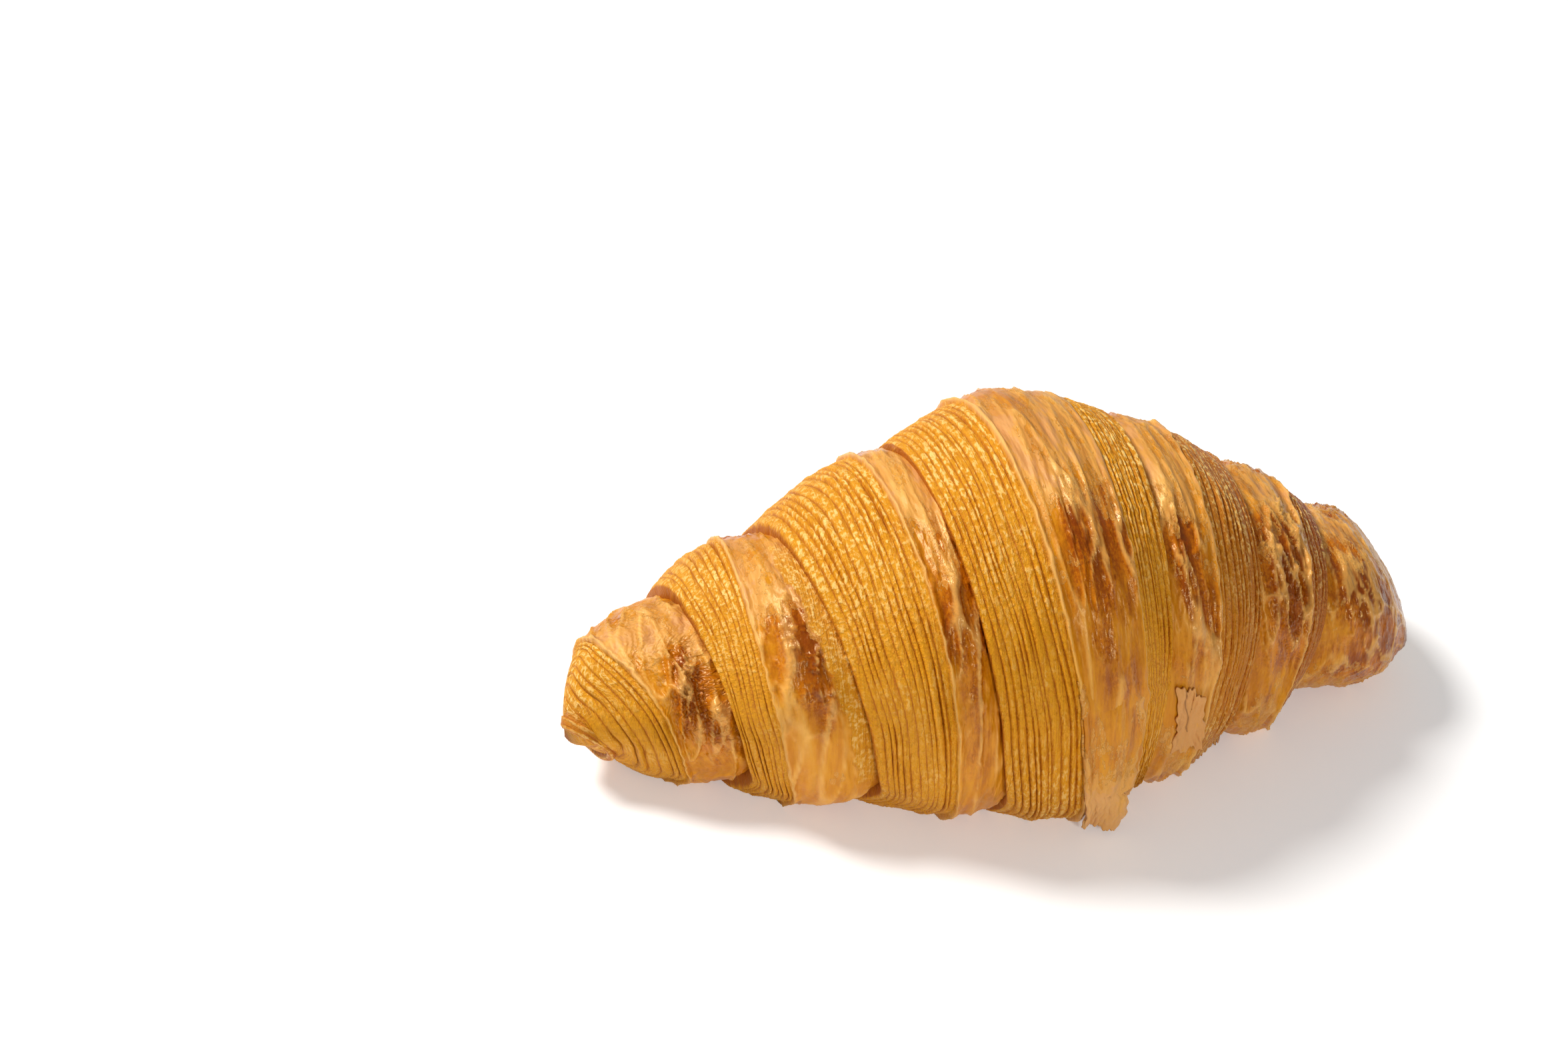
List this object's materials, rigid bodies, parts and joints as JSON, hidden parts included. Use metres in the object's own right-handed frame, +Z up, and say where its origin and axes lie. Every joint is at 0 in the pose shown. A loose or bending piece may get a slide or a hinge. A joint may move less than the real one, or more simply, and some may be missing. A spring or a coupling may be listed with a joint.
{
  "type": "croissant",
  "caption": "Straight butter croissant with stepped, spirally rolled wraps, a knob at each end and a flat baked base.",
  "frame": {"origin": "centre of the footprint, on the surface the croissant rests on", "axes": "+X along the croissant from one knob to the other, +Y to its back, +Z up"},
  "size_m": [0.174, 0.086, 0.067],
  "materials": {
    "crust": "satin"
  },
  "bodies": {
    "root": {"croissant": "crust"}
  },
  "joints": []
}
